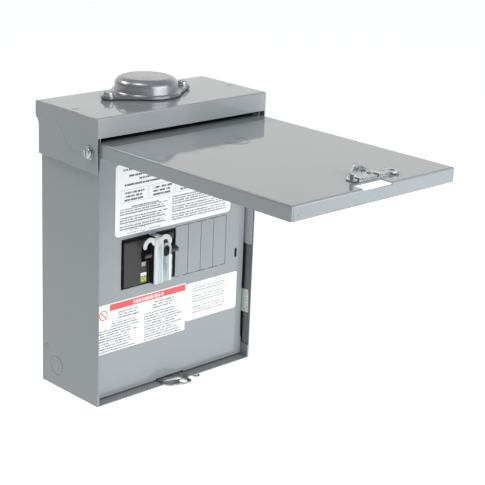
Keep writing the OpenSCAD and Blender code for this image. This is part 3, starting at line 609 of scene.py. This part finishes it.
def wiring_label():
    """Bold heading bars, four framed boxes and two columns of small print, all as dashes."""
    paint = print_paper("wiring_label")
    x, _, z = paint.split()
    bold = either(
        paint,
        paint.bars(x, z, -72, -24, 103.0, 106.5, 6.0, 2.2, 0.56, letter=1.5, ragged=14),
        paint.bars(x, z, -64, 30, 96.0, 101.5, 6.0, 2.2, 0.60, letter=1.3, ragged=10),
        paint.bars(x, z, -50, 20, 91.6, 95.0, 6.0, 2.0, 0.60, letter=1.3, ragged=10),
        paint.bars(x, z, -70, 40, 86.4, 90.0, 6.0, 2.2, 0.62, letter=1.3, ragged=6),
    )
    boxes = either(paint, *[
        paint.math("MULTIPLY", 0.6, paint.frame_line(x, z, left, left + 37.5, 68.0, 82.6, 0.5))
        for left in BOX_LEFTS
    ])
    boxed = either(paint, *[
        paint.bars(x, z, left + 5, left + 33, 69.8, 81.5, 3.9, 2.2, 0.62, letter=1.2, ragged=4)
        for left in BOX_LEFTS
    ])
    column = either(
        paint,
        paint.bars(x, z, -60, -22, 62.0, 66.0, 5.0, 1.6, 0.62, letter=1.0),
        paint.bars(x, z, -76, -8, 55.0, 61.6, 2.7, 1.6, 0.62, letter=1.0, ragged=9),
        paint.bars(x, z, -76, -8, 45.5, 53.2, 2.7, 1.6, 0.62, letter=1.0, ragged=9),
        paint.bars(x, z, -76, -8, 38.6, 44.4, 2.7, 1.6, 0.62, letter=1.0, ragged=9),
        paint.bars(x, z, -3, 78, 55.0, 65.0, 2.7, 1.6, 0.62, letter=1.0, ragged=9),
        paint.bars(x, z, -3, 78, 46.0, 53.2, 2.7, 1.6, 0.62, letter=1.0, ragged=9),
        paint.bars(x, z, -3, 78, 37.0, 44.4, 2.7, 1.6, 0.62, letter=1.0, ragged=9),
    )
    foot = either(
        paint,
        paint.bars(x, z, -66, -50, 33.5, 38.5, 3.0, 1.2, 0.52, letter=0.9),
        paint.frame_line(x, z, -46.5, -41, 33.0, 38.6, 0.5),
        paint.bars(x, z, -36, -20, 33.6, 36.6, 5.0, 1.2, 0.52, letter=0.9),
    )
    grey = paint.math("MULTIPLY", 0.85, either(paint, column, foot, boxes))
    with_grey = paint.mix(grey, paint.ground, GREY_INK)
    paint.colour(paint.mix(paint.math("MULTIPLY", 0.9, either(paint, bold, boxed)), with_grey, INK))
    return paint.material


RING = (-96.5, -52.0)


def hazard_label():
    """A red band with paler bars, a red ring crossed by one bar and two columns of dashes."""
    paint = print_paper("hazard_label")
    x, _, z = paint.split()
    band = paint.patch(x, z, -88, 19.6, -49.0, -41.6)
    heading = paint.bars(x, z, -55, -12, -47.6, -43.0, 6.0, 4.0, 0.52, letter=1.6)
    red = paint.math("SUBTRACT", band, paint.math("MULTIPLY", 0.85, heading))
    off_x = paint.math("SUBTRACT", x, RING[0])
    off_z = paint.math("SUBTRACT", z, RING[1])
    ring = paint.distance(off_x, off_z)
    mark = either(
        paint,
        paint.between(ring, 4.6, 5.8),
        paint.math("MULTIPLY", paint.between(paint.math("ADD", off_x, off_z), -0.9, 0.9),
                   paint.math("LESS_THAN", ring, 5.0)),
    )
    bold = either(
        paint,
        paint.bars(x, z, -78, -46, -60.0, -51.0, 3.1, 1.8, 0.60, letter=1.1, ragged=8),
        paint.bars(x, z, -28, 6, -60.0, -51.0, 3.1, 1.8, 0.60, letter=1.1, ragged=8),
    )
    body = either(
        paint,
        paint.bars(x, z, -86, -46, -68.0, -61.5, 2.9, 1.6, 0.62, letter=0.9, ragged=8),
        paint.bars(x, z, -103, -46, -92.0, -69.5, 3.0, 1.7, 0.62, letter=0.9, ragged=16),
        paint.bars(x, z, -40, 17, -92.0, -61.5, 3.0, 1.7, 0.62, letter=0.9, ragged=16),
    )
    foot = either(
        paint,
        paint.bars(x, z, -103, -52, -95.0, -93.0, 3.0, 1.5, 0.6, letter=1.0),
        paint.bars(x, z, -40, 14, -95.0, -93.0, 3.0, 1.5, 0.6, letter=1.0),
    )
    with_grey = paint.mix(paint.math("MULTIPLY", 0.8, body), paint.ground, GREY_INK)
    with_black = paint.mix(paint.math("MULTIPLY", 0.75, either(paint, bold, foot)), with_grey, INK)
    paint.colour(paint.mix(either(paint, red, mark), with_black, RED_INK))
    return paint.material


def torque_label():
    """One faint column of dashes."""
    paint = print_paper("torque_label")
    x, _, z = paint.split()
    rows = either(
        paint,
        paint.bars(x, z, 30, 88, -54.0, -46.5, 3.2, 1.8, 0.62, letter=0.9, ragged=14),
        paint.bars(x, z, 30, 88, -66.5, -56.0, 3.2, 1.8, 0.62, letter=0.9, ragged=14),
        paint.bars(x, z, 30, 88, -79.5, -69.0, 3.2, 1.8, 0.62, letter=0.9, ragged=14),
    )
    paint.colour(paint.mix(paint.math("MULTIPLY", 0.75, rows), paint.ground, (0.20, 0.18, 0.15)))
    return paint.material


def side_label(name, ground, ink, pitch, strength):
    """Fine upright rows on the labels of the side wall."""
    paint = print_paper(name)
    _, y, z = paint.split()
    rows = paint.bars(z, y, -300, 300, -99, -85, pitch, pitch * 0.45, 0.56, letter=1.2)
    paper = paint.mix(0.9, paint.ground, ground)
    paint.colour(paint.mix(paint.math("MULTIPLY", strength, rows), paper, ink))
    return paint.material


def rating_label():
    """A white strip over a yellow-green field, with dashes, and a dark border on the right-hand one."""
    paint = print_paper("rating_label")
    x, _, z = paint.split()
    field = paint.math("LESS_THAN", z, -17.0)
    dashes = paint.bars(x, z, -100, 100, -24.3, -13.7, 2.6, 1.2, 0.5, letter=1.0)
    ground = paint.mix(field, paint.ground, (0.36, 0.40, 0.07))
    border = paint.math("GREATER_THAN", x, -3.7)
    ink = either(paint, paint.math("MULTIPLY", 0.8, dashes), border)
    paint.colour(paint.mix(ink, ground, INK))
    return paint.material


# ---------------------------------------------------------------- sheet-metal skins

def door_skin():
    """The door with real bends along its three folded edges and round outer corners."""
    piece = worked_copy("door")
    left, right = low("door").x, high("door").x
    end = low("door").y
    top = door_face_z
    bend = 2.2 * MM

    def outer_fold(a, b):
        along_end = near(a.y, end) and near(b.y, end) and near(a.z, top) and near(b.z, top)
        along_side = near(a.z, top) and near(b.z, top) and near(a.x, b.x) and (
            near(a.x, left) or near(a.x, right))
        upright = near(a.y, end) and near(b.y, end) and near(a.x, b.x) and (
            near(a.x, left) or near(a.x, right))
        return along_end or along_side or upright

    round_folds(piece, outer_fold, bend)
    smooth(piece)
    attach(piece, "door")
    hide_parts("door")
    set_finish(piece, "enamel")
    return piece


def hood_skin():
    """The hood's top and lip, with a bend along the front and a tighter one along each side."""
    piece = worked_copy("hood_top")
    front = low("hood_top").y
    top = high("hood_top").z
    front_bend = 2.0 * MM
    side_bend = 1.0 * MM

    def front_fold(a, b):
        return near(a.y, front) and near(b.y, front) and near(a.z, top) and near(b.z, top)

    def side_fold(a, b):
        return near(a.x, b.x) and near(abs(a.x), high("hood_top").x) and near(a.z, top) and near(b.z, top)

    round_folds(piece, front_fold, front_bend)
    round_folds(piece, side_fold, side_bend, segments=3)
    smooth(piece)
    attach(piece, "enclosure")
    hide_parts("hood_top")
    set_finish(piece, "enamel")
    return piece


# ---------------------------------------------------------------- materials on their pieces

def dress():
    finish = {
        "enamel": grey_enamel(), "zinc": bright_zinc(), "dull_zinc": dull_zinc(), "cast": cap_finish(),
        "gasket": gasket_rubber(), "galvanised": galvanised_steel(), "tin": tin_plate(),
        "moulded": case_moulding(), "handle": handle_moulding(), "window": status_window(),
        "nylon": nylon(), "green": green_plating(), "rating": rating_label(),
    }
    flap = flap_enamel()
    own = {
        "box_shell": box_enamel(),
        "dead_front": trim_enamel(),
        "hood_flap_left": flap,
        "hood_flap_right": flap,
        "latch_plate": polished_zinc(),
        "interlock_bracket": bracket_zinc(),
        "interlock_lever": lever_zinc(),
        "label_wiring": wiring_label(),
        "label_hazard": hazard_label(),
        "label_torque": torque_label(),
        "label_wall_upper": side_label("wall_label_upper", ground=(0.50, 0.50, 0.54),
                                       ink=(0.24, 0.23, 0.28), pitch=2.2, strength=0.5),
        "label_wall_lower": side_label("wall_label_lower", ground=(0.72, 0.80, 0.74),
                                       ink=(0.20, 0.27, 0.23), pitch=2.6, strength=0.6),
    }
    for entry in frame["record"]["subparts"]:
        name = entry["node"]
        material = own[name] if name in own else finish[entry["material_slot"]]
        for holder in nodes[name].material_slots:
            holder.material = material
    for piece in bpy.data.objects:
        if piece.type == "MESH" and "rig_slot" in piece:
            piece.data.materials.clear()
            piece.data.materials.append(finish[piece["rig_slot"]])
    bpy.data.objects["door_skin"].data.materials[0] = door_enamel()
    bpy.data.objects["hood_top_skin"].data.materials[0] = hood_enamel()


# ---------------------------------------------------------------- camera, light and floor

ROOM = 0.40                                 # brightness of the plain room
GLOW = 1.18                                 # brightness of the glow behind the object
FLOOR_DROP = 0.30                           # metres from the enclosure's foot down to the floor
FLOOR_GLOW = 0.58


def camera():
    eye = Vector((-0.9711, -1.1840, 0.4890))
    azimuth = math.radians(-44.56)
    elevation = math.radians(17.99)
    roll = math.radians(2.43)
    back = Vector((math.sin(azimuth) * math.cos(elevation),
                   -math.cos(azimuth) * math.cos(elevation),
                   math.sin(elevation)))
    data = bpy.data.cameras.new("camera")
    data.lens = 104.06
    data.sensor_width = 36
    data.clip_start = 0.05
    data.clip_end = 50
    made = bpy.data.objects.new("camera", data)
    bpy.context.scene.collection.objects.link(made)
    turn = back.to_track_quat("Z", "Y").to_matrix().to_4x4()
    made.matrix_world = Matrix.Translation(eye) @ turn @ Matrix.Rotation(roll, 4, "Z")
    bpy.context.scene.camera = made


def soft_box(name, place, aim, width, height, power, colour=(1, 1, 1)):
    data = bpy.data.lights.new(name, "AREA")
    data.shape = "RECTANGLE"
    data.size = width
    data.size_y = height
    data.energy = power
    data.color = colour
    made = bpy.data.objects.new(name, data)
    bpy.context.scene.collection.objects.link(made)
    direction = Vector(place) - Vector(aim)
    made.matrix_world = Matrix.Translation(place) @ direction.to_track_quat("Z", "Y").to_matrix().to_4x4()


def studio_world():
    """A cool room, dimmer to the left, with one broad glow behind the object, low down."""
    world = bpy.data.worlds.new("studio")
    bpy.context.scene.world = world
    world.use_nodes = True
    tree = world.node_tree
    glow_to = Vector((0.70, 0.71, 0.0))

    def node(kind, **settings):
        made = tree.nodes.new(kind)
        for name, value in settings.items():
            setattr(made, name, value)
        return made

    def ramp(value, start, end, first, last):
        made = node("ShaderNodeMapRange", interpolation_type="SMOOTHSTEP")
        tree.links.new(value, made.inputs[0])
        for socket, number in zip(list(made.inputs)[1:5], (start, end, first, last)):
            socket.default_value = number
        return made.outputs[0]

    def times(a, b):
        made = node("ShaderNodeMath", operation="MULTIPLY")
        tree.links.new(a, made.inputs[0])
        tree.links.new(b, made.inputs[1])
        return made.outputs[0]

    direction = node("ShaderNodeTexCoord").outputs["Generated"]
    parts = node("ShaderNodeSeparateXYZ")
    tree.links.new(direction, parts.inputs[0])
    facing = node("ShaderNodeVectorMath", operation="DOT_PRODUCT")
    tree.links.new(direction, facing.inputs[0])
    facing.inputs[1].default_value = glow_to
    behind = ramp(facing.outputs["Value"], 0.25, 0.85, 0.0, 1.0)
    low_down = ramp(parts.outputs["Z"], 0.30, 0.75, 1.0, 0.0)
    glow = times(behind, low_down)
    from_left = ramp(parts.outputs["X"], -0.9, 0.1, 0.64, 1.0)
    shade = node("ShaderNodeMix", data_type="RGBA")
    tree.links.new(glow, shade.inputs[0])
    shade.inputs[6].default_value = (ROOM * 0.95, ROOM * 0.98, ROOM * 1.03, 1.0)
    shade.inputs[7].default_value = (GLOW * 1.0, GLOW * 0.99, GLOW * 0.95, 1.0)
    tree.links.new(shade.outputs[2], tree.nodes["Background"].inputs["Color"])
    tree.links.new(from_left, tree.nodes["Background"].inputs["Strength"])


def lights():
    studio_world()
    target = (0, -0.15, 0)
    soft_box("overhead", (-0.5, 0.0, 1.45), target, 0.6, 0.5, 5.0, (1.0, 0.985, 0.96))
    soft_box("rim", (-0.55, 0.95, 1.1), target, 0.6, 0.4, 7, (1.0, 0.99, 0.97))
    soft_box("front", (0.30, -1.35, 0.45), target, 1.4, 1.0, 15.6, (0.96, 0.985, 1.0))
    soft_box("kicker", (0.05, -1.0, -0.05), target, 0.35, 0.35, 1.6, (0.95, 0.985, 1.0))


def studio_floor():
    bpy.ops.object.select_all(action="DESELECT")
    bpy.ops.mesh.primitive_plane_add(size=40, location=(0, 0, floor_z - FLOOR_DROP))
    floor = settle(bpy.context.object, "studio_floor")
    paint = Paint("studio_white")
    paint.colour(paint.mix(paint.noise(2.0), (0.93, 0.93, 0.93), (0.95, 0.95, 0.95)))
    paint.set(Roughness=0.9)
    paint.shader.inputs["Emission Color"].default_value = (1, 1, 1, 1)
    paint.shader.inputs["Emission Strength"].default_value = FLOOR_GLOW
    floor.data.materials.append(paint.material)


door_skin()
hood_skin()
dress()
camera()
lights()
studio_floor()
bpy.context.scene.view_settings.view_transform = "Standard"
